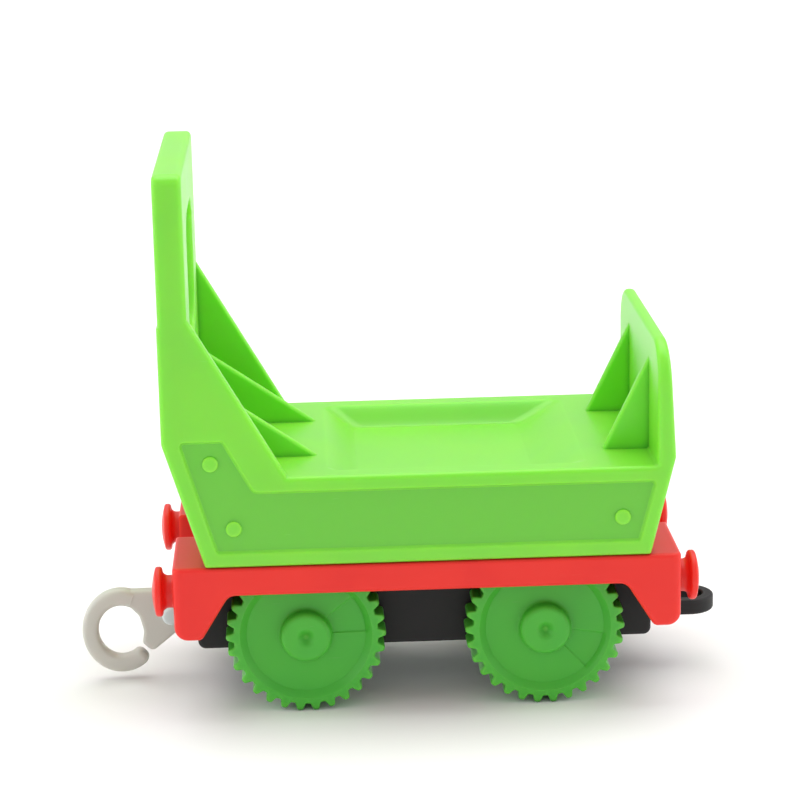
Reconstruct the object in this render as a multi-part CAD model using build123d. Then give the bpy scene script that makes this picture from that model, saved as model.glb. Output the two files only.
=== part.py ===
from build123d import *
import math
import os

# Toy railway wagon with a load bed.  Lengths in mm, +Z up, floor under the wheels at Z = 0.
# X runs along the wagon with the hook end at -X, Y runs across it.

# overall sizes
buffer_length = 90.0        # over the faces of the four buffers
body_width = 49.0
chassis_set_in = 0.2        # chassis sides stand this far inside the load body's
buffer_stand = 3.65         # chassis end to the face of a buffer
hook_stand = 13.3           # buffer faces to the outside of the hook
loop_stand = 5.4            # buffer faces to the end of the rear loop
seat_level = 27.0           # load body sits on the chassis here
deck_level = 41.9
headboard_top = 91.1
end_wall_top = 62.0
chassis_half_length = buffer_length / 2 - buffer_stand
hook_reach = buffer_length / 2 + hook_stand      # wagon middle to the outside of the hook
loop_reach = buffer_length / 2 + loop_stand

# load body
wall = 2.2
lower_half_length = chassis_half_length - 5.45    # where the sloping ends meet the chassis
headboard_x = -chassis_half_length - 0.65
headboard_thick = 4.7
knee_level = 47.7           # headboard bends into the sloping end
step_level = 66.9           # the back of the headboard stands out below this line
step_out = 0.2
gusset_top = 68.0
gusset_run = 15.0
end_knee_x = chassis_half_length - 1.0
end_knee_level = 43.2
end_wall_outer_x = end_knee_x - 1.05
end_wall_thick = 2.0
window_half = 12.5
window_sill = 60.0
window_top = 82.0
window_round = 5.0
tray_front_x = -15.5        # shallow tray in the deck, rim of its sloping front
tray_rear_x = 26.0
tray_front_run = 4.5
tray_rear_run = 7.5
tray_side_rim = 4.2
tray_depth = 3.2
tray_draft = 2.6
front_rib_y = 11.0
front_rib_top = 55.8
front_rib_run = 20.1
rear_rib_y = 12.4
rear_rib_top = 57.5
rear_rib_run = 7.6
rib_thick = 1.5
panel_depth = 0.5
rivet_radius = 1.3
boss_radius = 2.9
corner_round = 2.0
end_corner_round = 6.5
edge_round = 0.7
rivet_rise = 6.5            # lower rivets above the chassis
upper_rivet_rise = 17.4

# chassis
plate_thick = 2.0
sill_thick = 2.2
sill_bottom = 22.1
skirt_bottom = 14.7
skirt_length = 4.45
skirt_slope_run = 4.6
end_thick = 2.0
end_beam_bottom = 17.4
corner_half = 13.0          # the end beam is low between the two corner skirts
notch_half = 6.3
notch_depth = 4.8
chassis_edge_round = 0.7

# wheels and axles
axle_x = (-20.0, 19.5)
wheel_tip = 13.2
tooth_height = 1.25
teeth = 30
tip_half_angle = 1.7
wheel_outer_y = 19.0
wheel_thick = 5.0
rim_thick = 1.75
web_outer_y = 18.0
web_thick = 1.8
hub_radius = 4.2
hub_face_y = 20.3
hub_back_radius = 3.4
hub_back_y = 13.7
dimple_radius = 1.4
dimple_depth = 0.6
pocket_angle = 38.0         # one sunk sector in the web of each wheel
pocket_depth = 0.4
pocket_starts = (1.0, -47.0)
axle_radius = 1.3
axle_half = 18.6
axle_play = 0.06

# underframe
under_front_gap = 3.35      # underframe ends inside the chassis ends
under_rear_gap = 3.55
under_half = 13.5
under_bottom = 9.5
under_wall = 1.8
under_corner = 1.3
bearing_radius = 3.0
bearing_inner_y = 9.0

# screws
screw_x = 27.0
screw_y = 8.0
screw_radius = 1.3
screw_hole_play = 0.2
screw_head_radius = 2.2
screw_head_height = 1.7
screw_seat = 19.5
screw_top = 35.5
pillar_radius = 3.3

# buffers
buffer_y = 18.0
buffer_z = 21.35
buffer_head_radius = 4.1
buffer_neck_radius = 2.7
buffer_head_thick = 1.75
buffer_dome = 0.55
spigot_radius = 1.6
spigot_length = 3.5
spigot_boss = 3.0

# hook
ring_out_x = 6.7
hook_ring_z = 8.75
ring_out_z = 7.45
ring_in_x = 3.9
ring_in_z = 4.45
ring_thick = 2.8
shank_thick = 2.4
shank_top = 15.9
pivot_set_in = 3.4          # underframe's front end to the hook pin
pivot_radius = 1.2
pivot_play = 0.06
eye_radius = 3.0
eye_bottom_gap = 0.15
eye_top = 15.2
eye_top_gap = 0.15
lug_from_ring = 8.7
lug_z = 11.4
lug_radius = 1.6
lug_height = 0.9
ring_round = 0.9

# rear loop
loop_half = 4.5
loop_bar = 1.9
loop_bottom = 9.5
loop_top = 12.2
loop_eye_length = 7.4
tongue_half = 3.6
tongue_length = 7.3
tongue_top = 13.9
peg_set_in = 4.6            # underframe's rear end to the peg
peg_radius = 1.3
peg_play = 0.1

# places that follow from the sizes above
headboard_inner_x = headboard_x + headboard_thick
gusset_foot_x = headboard_inner_x + gusset_run
front_rib_foot_x = headboard_inner_x + front_rib_run
end_wall_inner_x = end_wall_outer_x - end_wall_thick
rear_rib_foot_x = end_wall_inner_x - rear_rib_run
tray_half = body_width / 2 - tray_side_rim
chassis_width = body_width - 2 * chassis_set_in
skirt_inner_x = chassis_half_length - skirt_length
wheel_root = wheel_tip - tooth_height
rim_inner = wheel_root - rim_thick
under_front_x = -chassis_half_length + under_front_gap
under_rear_x = chassis_half_length - under_rear_gap
hook_ring_x = -hook_reach + ring_out_x
pivot_x = under_front_x + pivot_set_in
lug_x = hook_ring_x + lug_from_ring
loop_eye_x = loop_reach - loop_eye_length
tongue_end_x = under_rear_x - tongue_length
peg_x = under_rear_x - peg_set_in
rivet_places = (
    (headboard_x + 7.5, seat_level + upper_rivet_rise),
    (-lower_half_length + 4.8, seat_level + rivet_rise),
    (lower_half_length - 4.2, seat_level + rivet_rise),
)
# the whole wagon is moved along X so that its overall length is centred on the origin
middle = (hook_reach - loop_reach) / 2
# a wheel stands on the near corners of two teeth, so its axle is a little lower than the tip radius
axle_z = wheel_tip * math.cos(math.radians(180 / teeth - tip_half_angle))
sides = (("left", -1), ("right", 1))
ends = (("front", -1), ("rear", 1))
half_w = body_width / 2
chassis_half = chassis_width / 2
plate_under = seat_level - plate_thick
floor_top = under_bottom + under_wall
eye_bottom = floor_top + eye_bottom_gap
low_align = (Align.CENTER, Align.CENTER, Align.MIN)


def side_view(points, rounds=0.0):
    # closed outline in the X-Z plane
    face = make_face(Polyline(*points, close=True))
    if rounds > 0:
        face = fillet(face.vertices(), rounds)
    return Plane.XZ * face


def slab(points, half, rounds=0.0):
    return extrude(side_view(points, rounds), amount=half, both=True)


def block(x0, x1, y0, y1, z0, z1):
    size = Box(x1 - x0, y1 - y0, z1 - z0)
    return Pos((x0 + x1) / 2, (y0 + y1) / 2, (z0 + z1) / 2) * size


def post(x, y, z0, z1, radius):
    return Pos(x, y, (z0 + z1) / 2) * Cylinder(radius, z1 - z0)


def cross_rod(x, z, y0, y1, radius):
    return Pos(x, (y0 + y1) / 2, z) * Rot(90, 0, 0) * Cylinder(radius, abs(y1 - y0))


def near(value, target, slack=0.02):
    return abs(value - target) < slack


def load_body():
    inner_x = headboard_inner_x
    outline = [
        (-lower_half_length, seat_level),
        (headboard_x - step_out, knee_level),
        (headboard_x - step_out, step_level),
        (headboard_x, step_level + step_out),
        (headboard_x, headboard_top),
        (inner_x, headboard_top),
        (inner_x, gusset_top),
        (gusset_foot_x, deck_level),
        (end_wall_inner_x, deck_level),
        (end_wall_inner_x, end_wall_top),
        (end_wall_outer_x, end_wall_top),
        (end_knee_x, end_knee_level),
        (lower_half_length + 0.4, seat_level),
    ]
    body = slab(outline, half_w)
    # upper corners of the headboard and the end wall, seen along the wagon
    for level, radius in ((headboard_top, corner_round), (end_wall_top, end_corner_round)):
        lines = body.edges().filter_by(Axis.X)
        body = fillet([e for e in lines if near(e.center().Z, level)], radius)
    # soft edge all round both side faces
    rim = [e for e in body.edges() if near(abs(e.center().Y), half_w)]
    body = fillet(rim, edge_round)
    # the room between the side gussets
    bay = half_w - wall
    body -= block(inner_x, gusset_foot_x + 2, -bay, bay, deck_level, gusset_top + 1)
    body -= window()
    body -= tray()
    body -= underside()
    body += ribs() + bosses()
    for _, side in sides:
        body -= side_panel(side)
    for _, side in sides:
        body += rivets(side)
    return body


def window():
    height = window_top - window_sill
    shape = Plane.YZ * Pos(0, window_sill + height / 2) * RectangleRounded(
        2 * window_half, height, window_round)
    return Pos(headboard_x + headboard_thick / 2, 0, 0) * extrude(
        shape, amount=headboard_thick, both=True)


def tray():
    # shallow tray with sloping ends and steeper long sides
    floor = deck_level - tray_depth
    upper = Plane.XY.offset(deck_level) * Pos((tray_front_x + tray_rear_x) / 2, 0) * Rectangle(
        tray_rear_x - tray_front_x, 2 * tray_half)
    floor_x0 = tray_front_x + tray_front_run
    floor_x1 = tray_rear_x - tray_rear_run
    lower = Plane.XY.offset(floor) * Pos((floor_x0 + floor_x1) / 2, 0) * Rectangle(
        floor_x1 - floor_x0, 2 * (tray_half - tray_draft))
    return loft([upper, lower])


def underside():
    # the body is a shell, open below and closed by the chassis
    low = lower_half_length - wall
    ceiling = deck_level - wall
    outline = [
        (-low, seat_level),
        (headboard_x + wall + 2.2, ceiling),
        (tray_front_x - 0.5, ceiling),
        (tray_front_x + tray_front_run - 0.5, ceiling - tray_depth),
        (tray_rear_x - tray_rear_run + 0.5, ceiling - tray_depth),
        (tray_rear_x + 0.5, ceiling),
        (end_knee_x - wall - 0.6, ceiling),
        (low + 0.4, seat_level),
    ]
    return slab(outline, half_w - wall - panel_depth)


def ribs():
    made = []
    inner_x = headboard_inner_x - 0.2
    wall_x = end_wall_inner_x + 0.2
    base = deck_level - 0.4
    front = [(inner_x, base), (front_rib_foot_x, base), (inner_x, front_rib_top)]
    rear = [(wall_x, base), (rear_rib_foot_x, base), (wall_x, rear_rib_top)]
    for _, side in sides:
        made.append(Pos(0, side * front_rib_y, 0) * slab(front, rib_thick / 2))
        made.append(Pos(0, side * rear_rib_y, 0) * slab(rear, rib_thick / 2))
    return made[0] + made[1] + made[2] + made[3]


def bosses():
    made = []
    for _, end in ends:
        for _, side in sides:
            x, y = end * screw_x, side * screw_y
            solid = post(x, y, seat_level, deck_level - 1.6, boss_radius)
            made.append(solid - post(x, y, seat_level, screw_top + 0.5, screw_radius))
    return made[0] + made[1] + made[2] + made[3]


def side_panel(side):
    # sunk field on each side face, bordered by a raised frame
    outline = [
        (-lower_half_length + 2.0, seat_level + 2.5),
        (headboard_x + 2.6, knee_level + 0.4),
        (headboard_x + 9.6, knee_level + 0.4),
        (headboard_x + 14.3, deck_level - 2.4),
        (end_knee_x - 3.25, deck_level - 2.4),
        (lower_half_length - 1.4, seat_level + 2.5),
    ]
    sunk = slab(outline, panel_depth, 0.5)
    return Pos(0, side * half_w, 0) * sunk


def rivets(side):
    made = None
    for x, z in rivet_places:
        stud = cross_rod(x, z, side * (half_w - panel_depth - 0.3), side * (half_w - 0.05), rivet_radius)
        made = stud if made is None else made + stud
    return made


def chassis():
    inner = skirt_inner_x
    slope_top = inner - skirt_slope_run
    outline = [
        (-chassis_half_length, seat_level),
        (-chassis_half_length, skirt_bottom),
        (-inner, skirt_bottom),
        (-slope_top, sill_bottom),
        (slope_top, sill_bottom),
        (inner, skirt_bottom),
        (chassis_half_length, skirt_bottom),
        (chassis_half_length, seat_level),
    ]
    face = make_face(Polyline(*outline, close=True))
    low = [v for v in face.vertices() if near(v.Y, skirt_bottom)]
    face = fillet([v for v in low if abs(v.X) > chassis_half_length - 1], 2.0)
    low = [v for v in face.vertices() if near(v.Y, skirt_bottom) and near(abs(v.X), inner)]
    face = fillet(low, 1.2)
    bend = [v for v in face.vertices() if near(v.Y, sill_bottom)]
    face = fillet(bend, 2.0)
    frame = extrude(Plane.XZ * face, amount=chassis_half, both=True)
    corners = frame.edges().filter_by(Axis.Z)
    frame = fillet([e for e in corners if near(abs(e.center().X), chassis_half_length)], 1.4)
    rim = [e for e in frame.edges() if near(abs(e.center().Y), chassis_half)]
    frame = fillet(rim, chassis_edge_round)
    reach = chassis_half_length
    # open below, with an end beam at each end
    side_in = chassis_half - sill_thick
    end_in = reach - end_thick
    frame -= block(-end_in, end_in, -side_in, side_in, skirt_bottom - 1, plate_under)
    # pillars are let in from below, wheels reach up through the plate
    for x in axle_x:
        for _, side in sides:
            y0, y1 = sorted((side * (under_half + 0.1), side * (wheel_outer_y + 0.8)))
            gap = wheel_tip + 0.9
            frame -= block(x - gap, x + gap, y0, y1, plate_under - 1, seat_level + 1)
    for _, end in ends:
        x0, x1 = sorted((end * (reach - notch_depth), end * (reach + 1)))
        frame -= block(x0, x1, -notch_half, notch_half, skirt_bottom - 1, seat_level + 1)
        x0, x1 = sorted((end * (end_in - 1), end * (reach + 1)))
        frame -= block(x0, x1, -corner_half, corner_half, skirt_bottom - 1, end_beam_bottom)
        # cheeks of the notch
        for _, side in sides:
            y0, y1 = sorted((side * notch_half, side * (notch_half + end_thick)))
            box_end = under_front_x if end < 0 else under_rear_x
            x0, x1 = sorted((box_end, end * (end_in + 0.5)))
            frame += block(x0, x1, y0, y1, end_beam_bottom, plate_under + 0.5)
            x = end * (end_in + 0.3)
            frame += lengthwise_rod(x, x - end * (spigot_length - 1.2), side * buffer_y, buffer_z, spigot_boss)
        for _, side in sides:
            x = end * (reach + 1)
            y = side * buffer_y
            frame -= lengthwise_rod(x, end * (reach - spigot_length), y, buffer_z, spigot_radius)
            hole = screw_radius + screw_hole_play
            frame -= post(end * screw_x, side * screw_y, plate_under - 1, seat_level + 1, hole)
    # boss over the hook eye, bored for its pin, and the peg that holds the rear loop
    frame += post(pivot_x, 0, eye_top + eye_top_gap, plate_under + 0.5, eye_radius - 0.4)
    frame -= post(pivot_x, 0, eye_top, seat_level - 1, pivot_radius)
    frame += post(peg_x, 0, tongue_top, plate_under + 0.5, eye_radius - 0.4)
    frame += post(peg_x, 0, floor_top + 0.4, plate_under, peg_radius)
    return frame


def lengthwise_rod(x0, x1, y, z, radius):
    return Pos((x0 + x1) / 2, y, z) * Rot(0, 90, 0) * Cylinder(radius, abs(x1 - x0))


def underframe():
    outline = [
        (under_front_x, plate_under),
        (under_front_x, under_bottom),
        (under_rear_x, under_bottom),
        (under_rear_x, plate_under),
    ]
    face = make_face(Polyline(*outline, close=True))
    face = fillet([v for v in face.vertices() if near(v.Y, under_bottom)], under_corner)
    tub = extrude(Plane.XZ * face, amount=under_half, both=True)
    x0 = under_front_x + under_wall
    x1 = under_rear_x - under_wall
    y1 = under_half - under_wall
    tub -= block(x0, x1, -y1, y1, floor_top, plate_under + 1)
    # the front wall is open for the swinging hook, the rear wall for the loop's tongue
    tub -= block(under_front_x - 1, x0 + 1, -notch_half, notch_half, floor_top, plate_under + 1)
    tub -= block(x1 - 1, under_rear_x + 1, -tongue_half, tongue_half, floor_top, tongue_top)
    # room for the chassis end beam bosses above the couplings
    for _, end in ends:
        for _, side in sides:
            x, y = end * screw_x, side * screw_y
            tub += post(x, y, under_bottom, plate_under, pillar_radius)
            tub -= post(x, y, under_bottom - 1, plate_under + 1, screw_radius + screw_hole_play)
            tub -= post(x, y, under_bottom - 1, screw_seat, screw_head_radius + 0.2)
    for x in axle_x:
        for _, side in sides:
            tub += cross_rod(x, axle_z, side * bearing_inner_y, side * under_half, bearing_radius)
            foot = sorted((side * bearing_inner_y, side * (under_half - 0.5)))
            tub += block(x - 1.0, x + 1.0, foot[0], foot[1], under_bottom + 0.5, axle_z)
        tub -= cross_rod(x, axle_z, -under_half - 1, under_half + 1, axle_radius + axle_play)
    tub -= post(pivot_x, 0, under_bottom - 1, floor_top + 1, pivot_radius)
    return tub


def gear_outline(tip, root):
    # rounded trapezoid teeth: root, flank and tip points for every tooth
    step = 360.0 / teeth
    shape = ((-4.3, root), (-3.5, root + 0.25), (-2.5, tip - 0.22), (-tip_half_angle, tip))
    points = []
    for k in range(teeth):
        mid_angle = -90.0 + (k + 0.5) * step
        for offset, radius in shape + tuple((-a, r) for a, r in reversed(shape)):
            angle = math.radians(mid_angle + offset)
            points.append((radius * math.cos(angle), radius * math.sin(angle)))
    return points


def wheel(pocket_start):
    # built with its outer face towards +Y' (local +Z), turned into place afterwards
    back = wheel_outer_y - wheel_thick
    toothed = extrude(make_face(Polyline(*gear_outline(wheel_tip, wheel_root), close=True)), amount=wheel_thick)
    disc = Pos(0, 0, back) * toothed
    bevel = 0.5
    cone = Pos(0, 0, wheel_outer_y - 1) * Cone(wheel_tip + 1 - bevel, wheel_tip - bevel, 1, align=low_align)
    cone += Pos(0, 0, back - 1) * Cylinder(wheel_tip + 1, wheel_thick, align=low_align)
    disc = disc & cone
    disc -= Pos(0, 0, web_outer_y) * Cylinder(rim_inner, 2, align=low_align)
    disc -= Pos(0, 0, back - 1) * Cylinder(rim_inner, 1 + web_outer_y - web_thick - back, align=low_align)
    disc += Pos(0, 0, back) * Cylinder(hub_back_radius, web_outer_y - back, align=low_align)
    disc += Pos(0, 0, hub_back_y) * Cylinder(hub_back_radius - 0.8, 1, align=low_align)
    hub = Pos(0, 0, web_outer_y - 0.5) * Cylinder(hub_radius, hub_face_y - web_outer_y + 0.5, align=low_align)
    hub = fillet(hub.edges().group_by(Axis.Z)[-1], 0.5)
    disc += hub
    disc -= Pos(0, 0, hub_face_y + 2.2) * Sphere(2.2 + dimple_depth)
    # sunk sector
    a0 = math.radians(pocket_start)
    a1 = math.radians(pocket_start + pocket_angle)
    r0 = hub_radius + 0.9
    r1 = rim_inner - 0.02
    middle_angle = (a0 + a1) / 2
    spot = lambda r, a: (r * math.cos(a), r * math.sin(a))
    edges = Line(spot(r0, a0), spot(r1, a0))
    edges += ThreePointArc(spot(r1, a0), spot(r1, middle_angle), spot(r1, a1))
    edges += Line(spot(r1, a1), spot(r0, a1))
    edges += ThreePointArc(spot(r0, a1), spot(r0, middle_angle), spot(r0, a0))
    disc -= Pos(0, 0, web_outer_y - pocket_depth) * extrude(make_face(edges.edges()), amount=1)
    disc -= Cylinder(axle_radius, axle_half, align=low_align)
    return disc


def placed_wheel(x, side, pocket_start):
    # outer face towards the side it stands on; seen from outside, +X' is towards +X on the left
    if side < 0:
        turned = Rot(90, 0, 0) * wheel(pocket_start)
    else:
        turned = Rot(-90, 0, 0) * wheel(pocket_start)
    return Pos(x, 0, axle_z) * turned


def buffer_piece(end, side):
    face_x = buffer_length / 2
    back_x = face_x - buffer_head_thick
    root_x = chassis_half_length
    spigot_x = root_x - spigot_length + 0.1
    neck = buffer_neck_radius
    head = buffer_head_radius
    rim = 0.4
    swell = head - rim - neck
    dome_edge = head - rim
    dome_radius = (dome_edge ** 2 + buffer_dome ** 2) / (2 * buffer_dome)
    part_way = dome_edge / 2
    dome_mid = (part_way, face_x - dome_radius + math.sqrt(dome_radius ** 2 - part_way ** 2))
    diagonal = math.sqrt(0.5)
    neck_end = (neck, back_x - swell)
    hollow = (neck + swell * (1 - diagonal), back_x - swell * (1 - diagonal))
    flange_back = (dome_edge, back_x)
    back_turn = (dome_edge + rim * diagonal, back_x + rim * (1 - diagonal))
    flange_low = (head, back_x + rim)
    flange_high = (head, face_x - buffer_dome - rim)
    face_turn = (dome_edge + rim * diagonal, face_x - buffer_dome - rim * (1 - diagonal))
    dome_start = (dome_edge, face_x - buffer_dome)
    # from the tip of the spigot along the neck and round the flange to the middle of the dome
    line = Polyline((0, face_x), (0, spigot_x), (spigot_radius, spigot_x), (spigot_radius, root_x),
                    (neck, root_x), neck_end)
    line += ThreePointArc(neck_end, hollow, flange_back)
    line += ThreePointArc(flange_back, back_turn, flange_low)
    line += Line(flange_low, flange_high)
    line += ThreePointArc(flange_high, face_turn, dome_start)
    line += ThreePointArc(dome_start, dome_mid, (0, face_x))
    turned = revolve(make_face(line.edges()), Axis.Y)
    # local +Y becomes +X or -X
    return Pos(0, side * buffer_y, buffer_z) * Rot(0, 0, -90 * end) * turned


def hook():
    x, z = hook_ring_x, hook_ring_z
    jaw = [(x + 9.0, z - 0.85), (x + 5.2, z - 3.85), (x + 3.6, z - 2.3)]
    # everything right of the ring's tip and below the jaw is open, and so is the mouth between them
    opening = jaw + [
        (x + 3.7, z - 0.75),
        (x + 2.2, z - 2.55),
        (x + 1.3, z - 4.25),
        (x + 3.0, z - 4.0),
        (x + 4.1, z - 3.85),
        (x + 5.0, z - 4.35),
        (x + 5.35, z - 5.55),
        (x + 4.7, z - 6.65),
        (x + 5.6, z - 8.25),
        (x + 10.6, z - 8.25),
    ]
    outer = Pos(x, z) * Ellipse(ring_out_x, ring_out_z)
    inner = Pos(x, z) * Ellipse(ring_in_x, ring_in_z)
    ring = extrude(Plane.XZ * (outer - inner), amount=ring_thick / 2, both=True)
    ring = fillet([e for e in ring.edges() if near(abs(e.center().Y), ring_thick / 2)], ring_round)
    ring -= slab(opening, ring_thick)
    # the plate that carries the ring back to the wagon
    plate = slab(jaw + [
        (x + 3.85, z - 0.15),
        (x + 3.2, z + 2.55),
        (x + 1.6, z + 4.15),
        (x, z + 4.85),
        (x, z + ring_out_z - 0.4),
        (x + 5.6, shank_top),
        (x + 10.8, shank_top),
        (pivot_x - 4.8, eye_top),
        (pivot_x, eye_top),
        (pivot_x, eye_bottom),
        (pivot_x - 4.7, eye_bottom),
    ], shank_thick / 2)
    piece = ring + plate
    piece += post(pivot_x, 0, eye_bottom, eye_top, eye_radius)
    piece += cross_rod(lug_x, lug_z, -shank_thick / 2 - lug_height, shank_thick / 2 + lug_height, lug_radius)
    piece -= post(pivot_x, 0, eye_bottom - 1, eye_top + 1, pivot_radius + pivot_play)
    return piece


def rear_loop():
    bow_x = loop_reach - loop_half
    plate = block(under_rear_x, bow_x, -loop_half, loop_half, loop_bottom, loop_top)
    plate += post(bow_x, 0, loop_bottom, loop_top, loop_half)
    eye_half = loop_half - loop_bar
    eye_end = bow_x
    plate -= block(loop_eye_x, eye_end, -eye_half, eye_half, loop_bottom - 1, loop_top + 1)
    plate -= post(eye_end, 0, loop_bottom - 1, loop_top + 1, eye_half)
    rims = [e for e in plate.edges() if near(e.center().Z, loop_top) or near(e.center().Z, loop_bottom)]
    rims = [e for e in rims if e.center().X > under_rear_x + 0.1]
    plate = fillet(rims, 0.35)
    plate += block(under_rear_x, loop_eye_x - 1.2, -tongue_half, tongue_half, loop_bottom, tongue_top)
    plate += block(tongue_end_x, under_rear_x + 0.2, -tongue_half, tongue_half, floor_top, tongue_top)
    plate -= post(peg_x, 0, floor_top - 1, tongue_top + 1, peg_radius + peg_play)
    return plate


def axle(x):
    rod = cross_rod(x, axle_z, -axle_half, axle_half, axle_radius)
    return chamfer([e for e in rod.edges() if near(abs(e.center().Y), axle_half)], 0.25)


def hook_pin():
    rod = post(pivot_x, 0, under_bottom + 0.2, seat_level - 1.2, pivot_radius)
    return chamfer([e for e in rod.edges() if e.geom_type == GeomType.CIRCLE], 0.2)


def screw(x, y):
    head = post(x, y, screw_seat - screw_head_height, screw_seat, screw_head_radius)
    low = [e for e in head.edges() if near(e.center().Z, screw_seat - screw_head_height)]
    head = fillet([e for e in low if e.geom_type == GeomType.CIRCLE], 0.6)
    piece = head + post(x, y, screw_seat - 0.2, screw_top, screw_radius)
    slot = screw_seat - screw_head_height
    for turn in (45, 135):
        piece -= Pos(x, y, slot) * Rot(0, 0, turn) * Box(2.6, 0.6, 1.8)
    return piece


def all_nodes():
    nodes = {
        "cargo_body": load_body(),
        "chassis_frame": chassis(),
        "underframe": underframe(),
        "coupling_hook": hook(),
        "hook_pin": hook_pin(),
        "rear_loop": rear_loop(),
    }
    for (end_name, end), x, pocket in zip(ends, axle_x, pocket_starts):
        nodes["axle_" + end_name] = axle(x)
        for side_name, side in sides:
            tag = end_name + "_" + side_name
            nodes["wheel_" + tag] = placed_wheel(x, side, pocket)
            nodes["buffer_" + tag] = buffer_piece(end, side)
            nodes["screw_" + tag] = screw(end * screw_x, side * screw_y)
    return nodes


def write_nodes():
    os.makedirs("parts", exist_ok=True)
    for name, shape in all_nodes().items():
        moved = Pos(middle, 0, 0) * shape
        solids = moved.solids()
        solid = solids[0] if len(solids) == 1 else moved
        solid.label = name
        export_step(solid, "parts/" + name + ".step")
        box = solid.bounding_box()
        print(name, len(solids), round(solid.volume, 1), box)


write_nodes()
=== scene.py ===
import math
import bpy
import numpy as np
from mathutils import Matrix, Vector


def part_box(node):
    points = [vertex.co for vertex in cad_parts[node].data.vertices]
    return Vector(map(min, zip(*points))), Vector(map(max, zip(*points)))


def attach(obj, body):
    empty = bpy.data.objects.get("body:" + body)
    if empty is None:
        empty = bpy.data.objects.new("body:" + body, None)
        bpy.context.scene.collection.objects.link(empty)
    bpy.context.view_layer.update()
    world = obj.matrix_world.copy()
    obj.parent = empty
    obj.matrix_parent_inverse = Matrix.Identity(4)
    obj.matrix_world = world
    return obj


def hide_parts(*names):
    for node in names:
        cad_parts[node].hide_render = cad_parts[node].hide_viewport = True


# Toy railway wagon: the looks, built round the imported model.
# Sizes in the pieces' dictionaries are in millimetres: x from the middle of the chassis, the floor at 0.

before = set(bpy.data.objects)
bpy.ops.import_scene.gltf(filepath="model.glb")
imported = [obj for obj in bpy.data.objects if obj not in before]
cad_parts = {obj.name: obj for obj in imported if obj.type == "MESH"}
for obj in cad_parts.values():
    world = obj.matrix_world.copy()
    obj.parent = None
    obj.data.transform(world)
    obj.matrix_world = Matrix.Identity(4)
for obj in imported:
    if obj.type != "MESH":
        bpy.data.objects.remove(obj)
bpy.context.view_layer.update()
mm = 0.001
chassisLow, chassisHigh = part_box("chassis_frame")
middleX = (chassisLow.x + chassisHigh.x) / 2 / mm
sides = {"left": -1, "right": 1}
ends = {"front": -1, "rear": 1}


def nodeMiddle(node):
    # the middle of a node's box in millimetres, with x from the middle of the chassis
    low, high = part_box(node)
    x, y, z = ((a + b) / 2 / mm for a, b in zip(low, high))
    return x - middleX, y, z


print("frame loaded, chassis middle at x =", round(middleX, 3), "mm")


# ---- camera, lights and floor

view = {
    "place": (-15.754, -424.147, 156.933),   # from the origin of the frame
    "yaw": 2.253,
    "down": 14.405,
    "roll": -1.145,
    "lens": 116.96,
}


def makeCamera():
    yaw, down, roll = (math.radians(view[k]) for k in ("yaw", "down", "roll"))
    ahead = Vector((math.sin(yaw) * math.cos(down), math.cos(yaw) * math.cos(down), -math.sin(down)))
    level = Vector((math.cos(yaw), -math.sin(yaw), 0))
    above = level.cross(ahead)
    right = level * math.cos(roll) + above * math.sin(roll)
    up = above * math.cos(roll) - level * math.sin(roll)
    data = bpy.data.cameras.new("camera")
    data.lens = view["lens"]
    data.sensor_width = 36
    data.clip_start, data.clip_end = 0.02, 20
    camera = bpy.data.objects.new("camera", data)
    bpy.context.scene.collection.objects.link(camera)
    turn = Matrix((right, up, -ahead)).transposed().to_4x4()
    camera.matrix_world = Matrix.Translation(Vector(view["place"]) * mm) @ turn
    bpy.context.scene.camera = camera


lamps = {
    "overhead": {"place": (0.1, 0.35, 1.5), "target": (0, 0, 0.04), "size": (2.2, 1.6), "power": 25},
    "leftWindow": {"place": (-1.5, -0.15, 0.55), "target": (0, 0, 0.05), "size": (1.4, 1.1), "power": 9},
    "rightWindow": {"place": (1.6, -0.1, 0.6), "target": (0, 0, 0.05), "size": (1.4, 1.1), "power": 8},
    "farWall": {"place": (0.1, 2.3, 0.75), "target": (0, 0, 0.05), "size": (3.4, 1.4), "power": 3},
    "frontFill": {"place": (-0.25, -1.7, 1.1), "target": (0, 0, 0.05), "size": (1.6, 1.2), "power": 2.5},
}


roomBrightness = 0.56


def makeLights():
    for name, lamp in lamps.items():
        data = bpy.data.lights.new(name, "AREA")
        data.shape = "RECTANGLE"
        data.size, data.size_y = lamp["size"]
        data.energy = lamp["power"]
        light = bpy.data.objects.new(name, data)
        bpy.context.scene.collection.objects.link(light)
        light.location = lamp["place"]
        aim = Vector(lamp["target"]) - Vector(lamp["place"])
        light.rotation_euler = aim.to_track_quat("-Z", "Y").to_euler()
    world = bpy.data.worlds.new("softRoom")
    bpy.context.scene.world = world
    world.use_nodes = True
    world.node_tree.nodes["Background"].inputs["Color"].default_value = (1, 1, 1, 1)
    world.node_tree.nodes["Background"].inputs["Strength"].default_value = roomBrightness
    bpy.context.scene.view_settings.view_transform = "Standard"


makeCamera()
makeLights()
print("camera and lights placed")


# ---- shader groups shared by the materials

def newGroup(name, ins, outs):
    group = bpy.data.node_groups.new(name, "ShaderNodeTree")
    for label, value in ins.items():
        kind = "NodeSocketColor" if isinstance(value, tuple) else "NodeSocketFloat"
        socket = group.interface.new_socket(label, in_out="INPUT", socket_type=kind)
        socket.default_value = value
    for label, kind in outs.items():
        group.interface.new_socket(label, in_out="OUTPUT", socket_type=kind)
    return group, group.nodes.new("NodeGroupInput"), group.nodes.new("NodeGroupOutput")


def addNode(tree, kind, settings=None, **inputs):
    node = tree.nodes.new(kind)
    for key, value in (settings or {}).items():
        setattr(node, key, value)
    for key, value in inputs.items():
        socket = node.inputs[int(key[1:])] if key[0] == "i" and key[1:].isdigit() else node.inputs[key]
        if isinstance(value, bpy.types.NodeSocket):
            tree.links.new(value, socket)
        else:
            socket.default_value = value
    return node


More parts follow.
